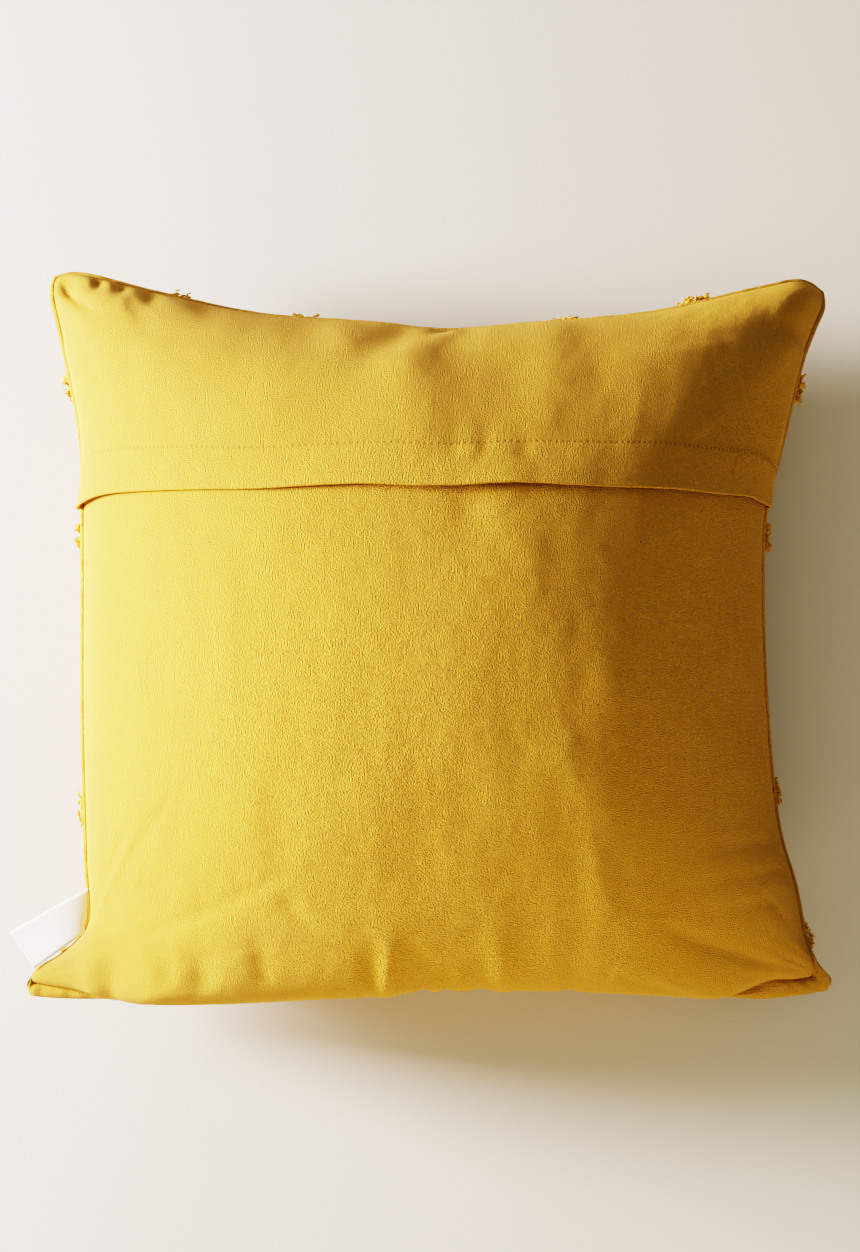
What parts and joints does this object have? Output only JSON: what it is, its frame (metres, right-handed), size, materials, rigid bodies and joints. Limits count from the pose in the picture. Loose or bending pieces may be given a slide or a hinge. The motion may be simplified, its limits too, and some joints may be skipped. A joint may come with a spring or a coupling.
{
  "type": "tufted throw cushion",
  "caption": "Square filled cotton cushion with drawn-in sides, an envelope back with a lapped flap, and a grid of cut-yarn tufts on its front.",
  "frame": {"origin": "middle of the bounding box's bottom, on the surface that the cushion lies on", "axes": "+Z out of the plain back, +Y towards the back's top edge, +X to the right of the back as the picture shows it"},
  "size_m": [0.4692, 0.4288, 0.1442],
  "materials": {
    "cotton": "matte plain weave with slubs",
    "yarn": "matte cut cotton yarn",
    "label": "smooth woven tape"
  },
  "bodies": {
    "root": {"cushion_body": "cotton", "lower_back_panel": "cotton", "upper_back_panel": "cotton", "side_label": "label", "tuft_0_1": "yarn", "tuft_0_2": "yarn", "tuft_0_4": "yarn", "tuft_0_5": "yarn", "tuft_1_0": "yarn", "tuft_1_1": "yarn", "tuft_1_2": "yarn", "tuft_1_3": "yarn", "tuft_1_4": "yarn", "tuft_1_5": "yarn", "tuft_1_6": "yarn", "tuft_2_0": "yarn", "tuft_2_1": "yarn", "tuft_2_2": "yarn", "tuft_2_3": "yarn", "tuft_2_4": "yarn", "tuft_2_5": "yarn", "tuft_2_6": "yarn", "tuft_3_1": "yarn", "tuft_3_2": "yarn", "tuft_3_3": "yarn", "tuft_3_4": "yarn", "tuft_3_5": "yarn", "tuft_4_0": "yarn", "tuft_4_1": "yarn", "tuft_4_2": "yarn", "tuft_4_3": "yarn", "tuft_4_4": "yarn", "tuft_4_5": "yarn", "tuft_4_6": "yarn", "tuft_5_0": "yarn", "tuft_5_1": "yarn", "tuft_5_2": "yarn", "tuft_5_3": "yarn", "tuft_5_4": "yarn", "tuft_5_5": "yarn", "tuft_5_6": "yarn", "tuft_6_1": "yarn", "tuft_6_2": "yarn", "tuft_6_4": "yarn", "tuft_6_5": "yarn"}
  },
  "joints": []
}
